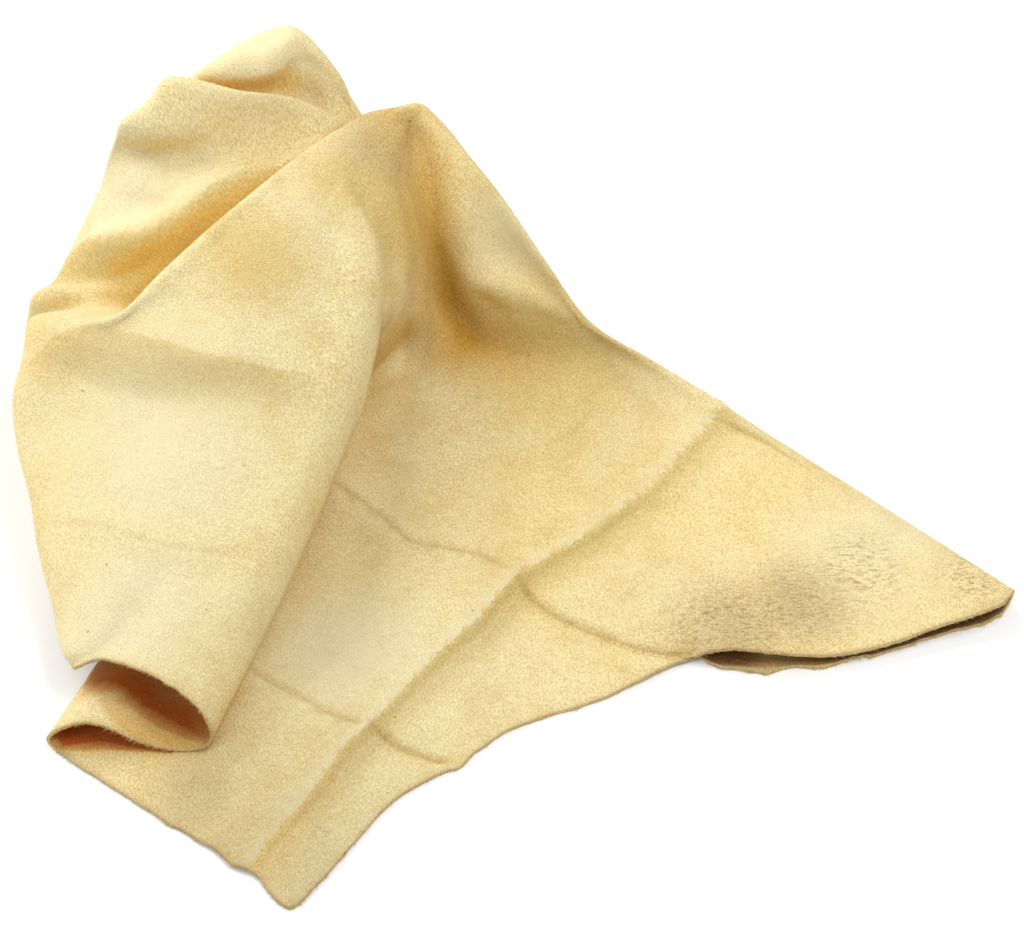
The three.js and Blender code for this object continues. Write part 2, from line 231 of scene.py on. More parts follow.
# The square grid taken as a disc: how far each point is from the middle, and its share of a turn
flat = points_of_skin("co")
flat_x, flat_y = flat[:, 0], flat[:, 1]
out = np.maximum(np.abs(flat_x), np.abs(flat_y))
safe = np.where(out > TINY, out, 1)
wide = np.abs(flat_x) >= np.abs(flat_y)
eighth = np.where(wide, flat_y * np.sign(flat_x), -flat_x * np.sign(flat_y)) / safe
quarter = np.select([wide & (flat_x > 0), ~wide & (flat_y > 0), wide, ~wide], [0, 1, 2, 3])
turn = (quarter + eighth / 2) / 4 % 1

# Every fold line as a fine chain of points with the length walked to each. All lines keep in step for a way
# from the pinch, and the rings of the grid stand closer together near the cut edge.
IN_STEP = 120
CHAIN_STEPS = 40
CLOSER_RINGS = 1.5
chains = []
for line in fold_lines.values():
    knots = [PINCH] + line
    stretches = len(knots) - 1
    chain = curve_through(knots, np.linspace(0, stretches, CHAIN_STEPS * stretches + 1))
    walked = np.concatenate([[0], np.cumsum(np.linalg.norm(np.diff(chain, axis=0), axis=1))])
    chains.append((chain, walked))


def share_at(far):
    """The share of a fold line that the ring this far out has come from the pinch."""
    return 1 - (1 - far) ** CLOSER_RINGS


def walked_at(length, share):
    """The length walked at this share of a fold line."""
    return IN_STEP * share + (length - IN_STEP) * share**3


def on_lines(share):
    """The points where all fold lines are this share of their way from the pinch to the edge."""
    places = []
    for chain, walked in chains:
        way = walked_at(walked[-1], share)
        places.append([np.interp(way, walked, chain[:, axis]) for axis in range(3)])
    return np.array(places)


# The room that each fold line takes in the turn follows its distance to the next line, at the edge and
# further in
LEAST_ROOM = 4
rims = [on_lines(share) for share in (0.55, 0.75, 1.0)]
gaps = sum(np.linalg.norm(np.roll(rim, -1, axis=0) - rim, axis=1) for rim in rims)
marks = np.concatenate([[0], np.cumsum(gaps + LEAST_ROOM)])
marks /= marks[-1]
place_on_round = np.interp(turn, marks, np.arange(len(line_names) + 1))

folded = np.empty_like(flat)
rings = np.rint(out * STEPS / 2).astype(int)
folded[rings == 0] = PINCH
for ring in range(1, STEPS // 2 + 1):
    here = rings == ring
    on_ring = on_lines(share_at(ring / (STEPS / 2)))
    folded[here] = curve_through(on_ring, place_on_round[here], closed=True)
folded = folded.reshape(side_count, side_count, 3)
reach = out.reshape(side_count, side_count)


def relax(points, weight, passes):
    """Draws each point towards the middle of its neighbours, and the cut edge along itself only."""
    for _ in range(passes):
        mean = points.copy()
        mean[1:-1, 1:-1] = (points[:-2, 1:-1] + points[2:, 1:-1] + points[1:-1, :-2] + points[1:-1, 2:]) / 4
        for edge in (0, -1):
            mean[edge, 1:-1] = (points[edge, :-2] + points[edge, 2:]) / 2
            mean[1:-1, edge] = (points[:-2, edge] + points[2:, edge]) / 2
        points = points + weight[..., None] * (mean - points)
    return points


# The gathers round the pinch are eased, and the rest of the skin hardly at all
GATHERED = 0.13
HARDLY = 0.04
folded = relax(folded, 0.5 * np.clip(1 - reach / GATHERED, HARDLY, 1), passes=10)
place_on_round = place_on_round.reshape(side_count, side_count)


def normals_of(points):
    """The direction square to the skin at each point, upwards where the skin lies flat."""
    square = np.cross(np.gradient(points, axis=1), np.gradient(points, axis=0))
    return square / np.maximum(np.linalg.norm(square, axis=2), TINY)[..., None]


def between(first, last):
    """The part of the skin from one fold line to another, in their order round the skin."""
    return (place_on_round >= line_names.index(first)) & (place_on_round <= line_names.index(last))


def nearest_on(path, spots):
    """How far each spot is from a path, its place along the path, and whether it lies to the left of it."""
    nearest = np.full(len(spots), np.inf)
    place = np.zeros(len(spots))
    at_left = np.zeros(len(spots), bool)
    for k in range(len(path) - 1):
        step = path[k + 1] - path[k]
        share = np.clip((spots - path[k]) @ step / (step @ step), 0, 1)
        away = spots - path[k] - share[:, None] * step
        distance = np.linalg.norm(away, axis=1)
        closer = distance < nearest
        nearest = np.where(closer, distance, nearest)
        place = np.where(closer, k + share, place)
        at_left = np.where(closer, step[0] * away[:, 1] - step[1] * away[:, 0] > 0, at_left)
    return nearest, place, at_left


def press(points, where, path, heights, left, right, sharp=1.5):
    """Raises the skin along a path, or sinks it where a height is below zero, and fades out on both sides.

    Heights and widths are given at each point of the path or, as one number, for all of it. A path on the
    table leaves out its heights above the table.
    """
    path = np.asarray(path, float)
    rows, columns = np.nonzero(where)
    distance, place, at_left = nearest_on(path, points[rows, columns, : path.shape[1]])
    height, wide_left, wide_right = (
        np.interp(place, np.arange(len(path)), np.broadcast_to(v, len(path))) for v in (heights, left, right)
    )
    fade = np.clip(1 - distance / np.where(at_left, wide_left, wide_right), 0, 1) ** sharp
    moved = points.copy()
    moved[rows, columns] += normals_of(points)[rows, columns] * (height * fade)[:, None]
    return moved


flap = between("flap crest", "fold")
shoulder = between("flap left", "wing fold top")
panel = between("panel cut left", "wing fold top")
bunch = between("bunch back", "bunch hollow")

# The peak, and the flap: a brow across it above a facet that drops to a shallow dip, and a faint crease
# lower down
peak = [(-66, 118, 80), (-56, 126, 80.5), (-46, 130, 82), (-33, 132, 83)]
folded = press(folded, between("flap crest", "wing fold top"), peak, (0, 1.5, 1.5, 0.5), 12, 12)
brow = [(-178.5, 10), (-164, 8.5), (-144.5, 1.5), (-115, -10), (-91.5, -13.5), (-67.5, -12)]
folded = press(folded, flap, brow, (0, 1, 3.5, 4.5, 3.5, 1.5), (10, 10, 14, 30, 30, 30), 9, 1.1)
facet = [(-186, -1), (-177.5, -3.5), (-160.5, -12.5), (-143, -19), (-119, -22.5), (-95, -22)]
folded = press(folded, flap, facet, (-1, -3.5, -6, -6, -5, -2.5), 11, 40, 1.2)
flap_crease = [
    (-180, -74), (-163, -76.5), (-151, -80), (-143, -83.5), (-135, -87), (-124, -90), (-106, -92),
    (-97, -92),
]
folded = press(folded, flap, flap_crease, (0.5, 1, 1, 1.4, 1.7, 1.7, 1, 0), 24, 8, 1.3)

# The right rim of the flap with the drop beside it, the crease beside the peak, a dent in the tent's slope,
# and the ridge and pocket where that slope meets the panel
rim = [
    (-74, 96, 79), (-65, 85, 76.5), (-59, 74, 73), (-53, 61, 69.5), (-51, 47, 64.5), (-51, 31, 58),
    (-54, 16, 56),
]
folded = press(folded, shoulder, rim, (0, 1.5, 3, 3.5, 3.5, 2, 0), 7, 16)
drop = [(-67, 91, 78), (-59, 82, 74), (-52, 72, 70), (-46, 60, 63), (-44, 46, 57), (-45, 32, 51)]
folded = press(folded, shoulder, drop, (0, -2.5, -4, -4.5, -3.5, 0), 15, 6)
peak_crease = [(-43, 128, 82), (-39, 121, 80), (-34, 114, 76), (-30, 105, 71), (-29, 96, 65), (-27, 86, 53)]
folded = press(folded, shoulder, peak_crease, (0, -4, -5, -5, -4, -1.5), 7, 6)
dent = [(-4, 78, 50), (3, 72, 45), (11, 66, 41)]
folded = press(folded, shoulder, dent, (-1, -3, -1), 10, 9)
sill = [(-14, 72, 33.5), (-3, 66, 33.5), (9, 61, 32.5), (27, 55, 30), (38, 50, 27)]
folded = press(folded, shoulder, sill, (1.5, 3, 2.5, 1.5, 0.5), 9, 7)
pocket = [(-25, 80, 40), (-20, 72, 20), (-11, 60, 10.5), (3, 55, 9), (20, 51, 10), (40, 43, 10)]
folded = press(folded, shoulder, pocket, (-2, -4, -5, -3, -1, 0), 11, 12)

# The bunch: a ridge on its hump above the crease behind the lip, a crease under the lip with the roll above
# it, then the shelf with a soft dimple behind it, and the low folds between the shelf and the flap
CLEAR_OF_PINCH = 0.1
lips = between("bunch hump", "bunch shelf") & (reach > CLEAR_OF_PINCH)
folded = relax(folded, np.where(lips, 0.5, 0), passes=5)
hump = [
    (-90, 159, 99.5), (-91, 153, 99), (-93, 149, 95), (-96, 147, 92), (-100, 145, 89), (-106, 142.5, 87.5),
    (-116, 141.5, 87.5), (-126, 143.5, 87.5),
]
folded = press(folded, bunch, hump, (1, 4, 6, 6, 6, 5, 4, 2), 9, 15, 1.2)
behind_lip = [(-116, 140, 84), (-106, 140, 83.5), (-90, 141, 82.5), (-82.5, 139, 82.5), (-74, 134, 81)]
folded = press(folded, bunch, behind_lip, (-3, -5, -5, -4, -2), 7, 7)
under_lip = [
    (-163, 117.5, 73), (-155, 114, 69), (-146.5, 111.5, 68.5), (-132.5, 111.5, 70), (-122, 112.5, 71.5),
]
folded = press(folded, bunch, under_lip, (-2, -4, -4.5, -3, 0), 8, 8)
roll = [(-160, 121, 77), (-148, 117, 77), (-130, 117, 79)]
folded = press(folded, bunch, roll, (3, 4, 2), 9, 9)
dimple = [(-162.5, 90, 59.5), (-153.5, 89.5, 63), (-144.5, 86, 64.5), (-140, 92, 66)]
folded = press(folded, bunch, dimple, (-3, -4, -4, -2), 14, 14)
shelf = [
    (-184, 72, 43), (-175, 73, 49.5), (-165, 71, 53.5), (-152, 69, 56.5), (-142.5, 72.5, 59), (-135, 77, 61),
    (-129, 84, 64.5), (-118, 94.5, 68), (-107, 101, 70), (-94, 107, 72),
]
folded = press(folded, bunch, shelf, (3, 6, 7, 7, 7, 6, 5, 3.5, 2, 0), 14, 9, 1.3)
under_shelf = [
    (-192, 60, 40), (-182, 60, 45), (-171, 58.5, 47.5), (-161, 57.5, 47.5), (-153, 59.5, 48), (-146, 64, 52),
]
folded = press(folded, bunch, under_shelf, (-2, -4, -6, -6, -4, -2), 8, 8)
low_fold = [(-199, 52, 38), (-189, 53, 43.5), (-184, 51.5, 43.5), (-175, 48.5, 42.5), (-166, 45, 42.5)]
folded = press(folded, bunch, low_fold, (1.5, 3, 4, 3, 0), 7, 7)
low_crease = [(-199, 47.5, 34), (-189.5, 44.5, 40), (-178, 42.5, 43)]
folded = press(folded, bunch, low_crease, (-2, -2.5, -1.5), 6, 6)


def pull(points, at, by, radius, sharp=1.5):
    """Moves the skin round one place by this much, most at the place itself and not at all at the radius."""
    distance = np.linalg.norm(points - np.asarray(at, float), axis=2)
    fade = np.clip(1 - distance / radius, 0, 1) ** sharp
    return points + fade[..., None] * np.asarray(by, float)


# The left end of the lip pokes out, and the hump falls away behind it
folded = pull(folded, (-136, 135, 93), (-8, 1, 2), 22)
folded = pull(folded, (-158, 125, 74), (-3, 0, 1), 20)
folded = pull(folded, (-104, 154, 97), (2, -1, -4), 20)


def uneven(points, broad, fine):
    """Soft waves over the points: broad ones, and finer ones half as high."""
    waves = [
        noise.noise(Vector(p) * broad) + 0.5 * noise.noise(Vector(p) * fine) for p in points.reshape(-1, 3)
    ]
    return np.reshape(waves, points.shape[:2])


# The panel and the wing never lie quite flat: low swells that die out upwards and towards the cut edge, then
# the creases from when the skin lay folded in a pack
LOW_DOWN = 25
SWELL_END = 0.12
SWELL, SWELL_MEAN, SWELL_MOST = 2.2, 1.2, 3
low = np.clip(1 - folded[..., 2] / LOW_DOWN, 0, 1) * np.clip((1 - reach) / SWELL_END, 0, 1) * panel
folded[..., 2] += low * np.clip(SWELL_MEAN + SWELL * uneven(folded, broad=0.02, fine=0.05), 0, SWELL_MOST)
long_crease = [
    (-91, -215), (-80, -199), (-68, -181), (-56, -160), (-40, -141), (-24, -119), (-7, -99), (8, -75),
    (36, -55), (61, -31), (81, -3), (95, 13),
]
folded = press(folded, panel, long_crease, (1, 3, 4, 5, 5, 5, 5, 5, 5, 4, 3, 2), 36, 9, 1.3)
first_cross = [(-72, -19), (-60, -30), (-48, -41), (-36, -55), (-22, -58), (-7, -63), (8, -75)]
folded = press(folded, panel, first_cross, (2, 3.5, 3.5, 3, 2, 2, 1), 9, 24, 1.3)
first_valley = [(8, -75), (15, -85), (26, -94), (40, -102), (54, -110), (69, -114), (76, -114)]
folded = press(folded, panel, first_valley, (-1, -2, -2, -2, -2, -2, -2), 10, 10)
second_cross = [(-100, -121), (-85, -130), (-72, -138), (-63, -145), (-54, -150), (-50, -149)]
folded = press(folded, panel, second_cross, (2, 2, 2, 1.5, 1, 0.5), 10, 22, 1.3)
second_valley = [(-50, -149), (-38, -158), (-24, -164), (-15, -166)]
folded = press(folded, panel, second_valley, (-1, -2, -2, -1.5), 9, 9)

# The cut edge: a sharp front corner, a step beside it where the long crease ends, a point further along, and
# the slight waver of the shears, which is ragged on the lower layer of the wing
EDGE_ROWS = 4
EDGE_BAND = 0.04
WAVER, RAGGED = 1.1, 2.2
folded = pull(folded, (-75, -228, 1), (1, -2, 0), 12)
folded = pull(folded, (-74, -231, 1), (0.5, -1.2, 0), 6)
folded = pull(folded, (-96, -212, 1), (-1.3, -1.8, 0), 8)
folded = pull(folded, (-86, -219, 1), (1.1, 1.4, 0), 12)
folded = pull(folded, (-14, -166, 1), (1, -2, 0), 8)
held = np.clip(np.arange(side_count), EDGE_ROWS, STEPS - EDGE_ROWS)
outwards = folded - folded[held][:, held]
outwards /= np.maximum(np.linalg.norm(outwards, axis=2), TINY)[..., None]
at_edge = np.clip((reach - 1 + EDGE_BAND) / EDGE_BAND, 0, 1) ** 2
cut = np.where(between("wing fold low", "wing lower 3"), RAGGED, WAVER)
folded += outwards * (at_edge * cut * uneven(folded, broad=0.09, fine=0.3))[..., None]

# All the folds ease a little, and nothing goes below the table
folded = relax(folded, np.where(reach < 1, 0.3, 0), passes=2)
folded[..., 2] = np.maximum(folded[..., 2], REST)
skin.data.vertices.foreach_set("co", (folded.reshape(-1, 3) * MM).ravel())

# The skin laid flat, in metres, as its UV map, so that the nap runs with the leather and not with the room
lengths = np.array([walked[-1] for _, walked in chains])
full = np.interp(turn, marks, np.append(lengths, lengths[0]))
laid = walked_at(full, share_at(out)) * MM
laid_flat = np.stack([laid * np.cos(2 * np.pi * turn), laid * np.sin(2 * np.pi * turn)], axis=1)
corners = np.empty(len(skin.data.loops), dtype=int)
skin.data.loops.foreach_get("vertex_index", corners)
skin.data.uv_layers[0].name = "laid_flat"
skin.data.uv_layers[0].data.foreach_set("uv", laid_flat[corners].ravel())

# Half of the thickness on each side, and nothing below the table
bpy.ops.object.modifier_add(type="SOLIDIFY")
skin.modifiers[-1].thickness = SKIN_THICKNESS * MM
skin.modifiers[-1].offset = 0
bpy.ops.object.modifier_apply(modifier=skin.modifiers[-1].name)
both_sides = points_of_skin("co")
both_sides[:, 2] = np.maximum(both_sides[:, 2], 0)
skin.data.vertices.foreach_set("co", both_sides.ravel())
skin.data.update()
bpy.ops.object.shade_smooth()


def carry(name, values):
    """Gives each point of the skin its value under this name."""
    skin.data.attributes.new(name, "FLOAT", "POINT").data.foreach_set("value", values.astype(np.float32))


def values_of(name):
    """What the skin's points carry under this name."""
    values = np.empty(len(skin.data.vertices))
    skin.data.attributes[name].data.foreach_get("value", values)
    return values


# The upper sides of the panel with the wing, of the shoulder, of the flap and of the bunch, and how near
# each point is to the cut edge
DARK_EDGE = 0.025
faces_up = points_of_skin("normal")[:, 2] > 0
for name, area in (("on_panel", panel), ("on_shoulder", shoulder), ("on_flap", flap), ("on_bunch", bunch)):
    carry(name, np.tile(area.ravel(), 2) & faces_up)
carry("near_edge", np.tile(np.clip((out - 1 + DARK_EDGE) / DARK_EDGE, 0, 1), 2))

# Finer faces along each sharp crease, along the flap's brow and where the loop touches the panel. The groove
# of the long crease lies just in front of its crest.
wing_wrinkle = [(92, 8), (104, 0), (116, -7), (126, -15), (133, -22)]
panel_arc = [(39, 28), (37, 14), (30, 5), (20, -1)]
BESIDE_CREST = (2.6, -2.2)
beside_long = [(x + BESIDE_CREST[0], y + BESIDE_CREST[1]) for x, y in long_crease]
sharp_creases = (
    ("on_panel", beside_long, 0.5), ("on_panel", first_cross, 1.2), ("on_panel", first_valley, 1.8),
    ("on_panel", second_cross, 1.2), ("on_panel", second_valley, 1.6), ("on_panel", wing_wrinkle, 1.2),
    ("on_panel", panel_arc, 0.6), ("on_flap", flap_crease, 0.45),
)
GROOVE = 2.6
BROW_REACH = 8
FOOT_REACH = 16
brow_line = [(-196, -7), (-190.5, 0), (-181, 8.5)] + brow[1:]
loop_foot = [(-171, -154), (-150, -159), (-128, -160), (-110, -159), (-105, -143)]


def reaches(area, path, distance):
    """Which points of one area of the skin are this close to a path on the table."""
    away = nearest_on(np.array(path, float), both_sides[:, :2] / MM)[0]
    return (values_of(area) > 0.5) & (away < distance)


reached = reaches("on_flap", brow_line, BROW_REACH) | reaches("on_shoulder", loop_foot, FOOT_REACH)
for area, path, _ in sharp_creases:
    reached |= reaches(area, path, 2 * GROOVE)
bpy.ops.object.mode_set(mode="EDIT")
bpy.ops.mesh.select_mode(type="VERT")
bpy.ops.mesh.select_all(action="DESELECT")
bpy.ops.object.mode_set(mode="OBJECT")
skin.data.vertices.foreach_set("select", reached)
bpy.ops.object.mode_set(mode="EDIT")
bpy.ops.mesh.subdivide(number_cuts=2)
bpy.ops.object.mode_set(mode="OBJECT")
finer, facing = points_of_skin("co") / MM, points_of_skin("normal")
count = len(finer)

# The sharp middle of each crease, where the points sink in, less so at its ends
AT_ENDS = 0.3
crease = np.zeros(count)
for area, path, deepest in sharp_creases:
    away, place, _ = nearest_on(np.array(path, float), finer[:, :2])
    ends = np.clip(np.minimum(place, len(path) - 1 - place) + AT_ENDS, 0, 1)
    inside = values_of(area) > 0.5
    crease = np.maximum(crease, inside * deepest * ends * np.clip(1 - away / GROOVE, 0, 1))
finer -= facing * crease[:, None]
finer[:, 2] = np.maximum(finer[:, 2], 0)
skin.data.vertices.foreach_set("co", (finer * MM).ravel())
skin.data.update()

# How far each point lies inside a fold, which sets the painted shade of the folds: the share of directions
# in which other leather is close. They fan out from the skin, each turned from the last by the golden angle.
tree = BVHTree.FromObject(skin, bpy.context.evaluated_depsgraph_get())
RAYS = 16
RAY_START = 0.6
FOLD_REACH = 160
NEAR_UPRIGHT = 0.9
fan = []
for k in range(RAYS):
    rise = math.sqrt((k + 0.5) / RAYS)
    swing = k * math.pi * (3 - math.sqrt(5))
    fan.append((math.cos(swing) * math.sqrt(1 - rise**2), math.sin(swing) * math.sqrt(1 - rise**2), rise))
beside = np.cross(np.where(np.abs(facing[:, 2:]) < NEAR_UPRIGHT, (0, 0, 1.0), (1.0, 0, 0)), facing)
beside /= np.maximum(np.linalg.norm(beside, axis=1), TINY)[:, None]
ahead = np.cross(facing, beside)
starts = ((finer + RAY_START * facing) * MM).tolist()
in_fold = np.zeros(count)
for right, front, rise in fan:
    rays = (right * beside + front * ahead + rise * facing).tolist()
    for k in range(count):
        distance = tree.ray_cast(starts[k], rays[k], FOLD_REACH * MM)[3]
        if distance is not None:
            in_fold[k] += (1 - (distance / MM / FOLD_REACH) ** 2) / RAYS


SPOT_SLOPE = 1.4


def soft_spots(spots):
    """How close each point is to these places, from 0 at the radius to 1 near the middle."""
    close = np.zeros(count)
    for *middle, radius in spots:
        away = np.linalg.norm(finer - middle, axis=1)
        close = np.maximum(close, np.clip(SPOT_SLOPE - SPOT_SLOPE * away / radius, 0, 1))
    return close


# Where the leather differs in tone, each place with its radius: pale where handled, with painted highlights
# on the lit places; golden, which is painted shade in the hollows and on slopes that face away from the
# light;
# dulled, partly greyer leather and partly painted shade; painted shade inside the loop and the wing; and
# soiled
on_panel, on_flap, on_bunch = values_of("on_panel"), values_of("on_flap"), values_of("on_bunch")
pale_and_lit = soft_spots((
    (-138, -40, 48, 70), (-138, -115, 31, 50), (-153, 93, 60, 50), (-108, 146, 96, 40), (142, -68, 8, 45),
    (-62, -112, 3, 45), (3, 80, 50, 28),
))
golden = soft_spots((
    (-42, 73, 60, 34), (-60, 86, 74, 30), (-100, 40, 75, 35), (27, 35, 5, 55), (-152, 60, 46, 26),
    (-135, 70, 57, 20), (-45, 58, 60, 13), (-43, 45, 54, 13), (-44, 32, 46, 13), (-122, -155, 4, 18),
))
dulled_and_shade = soft_spots((
    (-110, -184, 2, 30), (-76, -218, 2, 80), (92, -103, 7, 30), (120, -91, 7, 28), (-51, 108, 80, 26),
))
loop_shade = soft_spots(((-142, -148, 12, 46), (-125, -150, 8, 30), (-162, -155, 3, 40))) * (1 - on_panel)
wing_shade = soft_spots(((150, -102, 4, 70), (192, -92, 5, 50), (90, -112, 3, 25)))
soil = soft_spots((
    (96, -100, 7, 32), (120, -90, 7, 32), (145, -73, 8, 26), (81, -102, 6, 24), (190, -80, 9, 20),
    (-64, -199, 2, 5),
))

# Painted shade: the amber of the deep fold that runs from the peak down into the pocket, widest towards the
# flap
down_the_fold = peak_crease[1:] + pocket
FOLD_LEFT, FOLD_RIGHT = 14, 32
FOLD_AMBER = (0.5, 0.6, 0.65, 0.7, 0.75, 0.8, 0.9, 1, 0.6, 0.2, 0)
away, place, at_left = nearest_on(np.array(down_the_fold, float), finer)
strength = np.interp(place, np.arange(len(down_the_fold)), FOLD_AMBER)
fold_shade = strength * np.clip(1 - away / np.where(at_left, FOLD_LEFT, FOLD_RIGHT), 0, 1)

# Painted shade on the lee sides of the long crease, of the brow and of the shelf, where the light from the
# back falls less, and a painted highlight on the crest of the long crease
LEE = 16
CREST = 8
FACET, FACET_DULL, FACET_ENDS = 22, 0.7, 0.1
SHELF_LIT, SHELF_LEE, SHELF_FULL = 5, 16, 1.5
away, _, at_left = nearest_on(np.array(long_crease, float), finer[:, :2])
lee = on_panel * np.where(at_left, 0, np.clip(1 - away / LEE, 0, 1))
pale_and_lit = np.maximum(pale_and_lit, on_panel * np.where(at_left, np.clip(1 - away / CREST, 0, 1), 0))
away, place, at_left = nearest_on(np.array(brow_line, float), finer[:, :2])
ends = np.clip(np.minimum(place, len(brow_line) - 1 - place) + FACET_ENDS, 0, 1)
lee = np.maximum(lee, FACET_DULL * on_flap * ends * np.where(at_left, 0, np.clip(1 - away / FACET, 0, 1)))
away, place, at_left = nearest_on(np.array(shelf, float), finer)
ends = np.clip(len(shelf) - 1 - place, 0, 1)
under = np.clip(away / SHELF_LIT, 0, 1) * np.clip(SHELF_FULL - away / SHELF_LEE, 0, 1)
lee = np.maximum(lee, on_bunch * ends * np.where(at_left, 0, under))
for name, values in (
    ("in_fold", in_fold), ("crease", crease), ("pale_and_lit", pale_and_lit), ("golden", golden), ("dulled_and_shade", dulled_and_shade),
    ("fold_shade", fold_shade), ("loop_shade", loop_shade), ("wing_shade", wing_shade), ("soil", soil), ("lee", lee),
):
    carry(name, values)

# Chamois nap: pale cream where it is brushed and handled, with painted highlights where the light falls,
# painted shade in deeper gold and brown in the folds, and soft clumps of fibre
nap = bpy.data.materials.new("chamois_nap")
nap.use_nodes = True
nodes, links = nap.node_tree.nodes, nap.node_tree.links
shader = nodes["Principled BSDF"]


def wire(socket, value):
    """Links a socket to another one, or sets it to a plain value."""
    if isinstance(value, bpy.types.NodeSocket):
        links.new(value, socket)
    else:
        socket.default_value = value


def clumps(vector, scale, detail, roughness):
    """Soft noise of so many clumps to the metre."""
    node = nodes.new("ShaderNodeTexNoise")
    wire(node.inputs["Vector"], vector)
    for name, value in (("Scale", scale), ("Detail", detail), ("Roughness", roughness)):
        node.inputs[name].default_value = value
    return node.outputs["Fac"]


def ranged(value, low, high, to_low=0.0, to_high=1.0):
    """A value taken from one range to another, and kept inside it."""
    node = nodes.new("ShaderNodeMapRange")
    wire(node.inputs["Value"], value)
    for name, end in (("From Min", low), ("From Max", high), ("To Min", to_low), ("To Max", to_high)):
        node.inputs[name].default_value = end
    return node.outputs["Result"]


def combined(operation, first, second):
    """Two values put together by this operation."""
    node = nodes.new("ShaderNodeMath")
    node.operation = operation
    wire(node.inputs[0], first)
    wire(node.inputs[1], second)
    return node.outputs["Value"]


def times(first, second):
    """Two values multiplied."""
    return combined("MULTIPLY", first, second)


def plus(first, second):
    """Two values added."""
    return combined("ADD", first, second)


def blend_of(factor, first, second, kind="MIX"):
    """Two colours, mixed by a factor."""
    node = nodes.new("ShaderNodeMix")
    node.data_type = "RGBA"
    node.blend_type = kind
    wire(node.inputs["Factor"], factor)
    wire(node.inputs["A"], first)
    wire(node.inputs["B"], second)
    return node.outputs["Result"]


def carried(name):
    """A value that the skin's own points carry."""
    node = nodes.new("ShaderNodeAttribute")
    node.attribute_name = name
    return node.outputs["Fac"]


object_place = nodes.new("ShaderNodeTexCoord").outputs["Object"]
flat_map = nodes.new("ShaderNodeUVMap")
flat_map.uv_map = "laid_flat"


def combed(vector, turned, stretch):
    """A place turned and drawn out, so that the noise on it lies in strokes."""
    node = nodes.new("ShaderNodeMapping")
    wire(node.inputs["Vector"], vector)
    node.inputs["Rotation"].default_value = (0, 0, turned)
    node.inputs["Scale"].default_value = (1, stretch, 1)
    return node.outputs["Vector"]


fibres = clumps(combed(flat_map.outputs["UV"], turned=0.6, stretch=0.45), 1500, detail=3, roughness=0.65)
grains = clumps(object_place, 1400, detail=3, roughness=0.7)
tufts = clumps(object_place, 260, detail=3, roughness=0.6)
patches = clumps(object_place, 11, detail=3, roughness=0.5)
mottle = clumps(object_place, 50, detail=4, roughness=0.65)
strokes = clumps(combed(object_place, turned=0.35, stretch=3.2), 330, detail=4, roughness=0.7)

PALE = (0.79, 0.71, 0.475, 1)
CREAM = (0.90, 0.80, 0.48, 1)
STRAW = (0.88, 0.735, 0.375, 1)
HONEY = (0.73, 0.55, 0.20, 1)
AMBER = (0.80, 0.51, 0.11, 1)
CREASE_SHADE = (0.58, 0.40, 0.11, 1)
UMBER = (0.63, 0.33, 0.01, 1)
BROWN = (0.57, 0.125, 0.003, 1)
DARK = (0.16, 0.04, 0.004, 1)
DULL = (0.50, 0.41, 0.23, 1)
STREAK = (0.40, 0.26, 0.09, 1)
EDGE_BROWN = (0.50, 0.34, 0.13, 1)
SPECK = (0.25, 0.15, 0.06, 1)
NAP_SHADE = (0.66, 0.57, 0.42, 1)
PATCHY = (0.34, 0.60)
GOLDEN_MOST, LEE_MOST, SOIL_MOST, EDGE_MOST = 0.7, 0.75, 0.8, 0.5

# The tones are laid over each other: first the patches, then the pale places with painted highlights, the
# dulled places, partly painted shade, the painted shade of the folds and creases, the soil and the cut edge,
# and last the shade between the fibres and a few specks
colour = blend_of(ranged(patches, *PATCHY), CREAM, STRAW)
colour = blend_of(ranged(mottle, 0.48, 0.72, 0, 0.5), colour, HONEY)
# Painted highlight on the lit places and the crest, partly the paler handled nap
colour = blend_of(times(carried("pale_and_lit"), ranged(patches, *PATCHY, 0.7, 0.5)), colour, PALE)
# Painted shade: deeper gold in the hollows and on the slopes that face away from the light
colour = blend_of(times(carried("golden"), GOLDEN_MOST), colour, HONEY)
# Partly greyer leather, partly painted shade
colour = blend_of(times(carried("dulled_and_shade"), ranged(patches, *PATCHY, 0.4, 0.65)), colour, DULL)
# Painted shade on the lee sides
colour = blend_of(times(carried("lee"), LEE_MOST), colour, HONEY)
# Painted shade in the folds: amber, stronger the more leather closes round a point, weaker on the shoulder
in_shade = carried("in_fold")
less_shade_on_shoulder = ranged(carried("on_shoulder"), 0, 1, 1, 0.25)
colour = blend_of(times(ranged(in_shade, 0.26, 0.58, 0, 0.7), less_shade_on_shoulder), colour, AMBER)
# Painted shade down the deep fold from the peak into the pocket
colour = blend_of(carried("fold_shade"), colour, UMBER)
# Painted shade inside the loop, amber and then brown
colour = blend_of(times(carried("loop_shade"), ranged(in_shade, 0.08, 0.28, 0, 0.75)), colour, AMBER)
colour = blend_of(times(carried("loop_shade"), ranged(in_shade, 0.2, 0.5, 0, 1)), colour, BROWN)
# Painted shade: dark inside the wing's fold
colour = blend_of(times(carried("wing_shade"), ranged(in_shade, 0.2, 0.42, 0, 0.95)), colour, DARK)
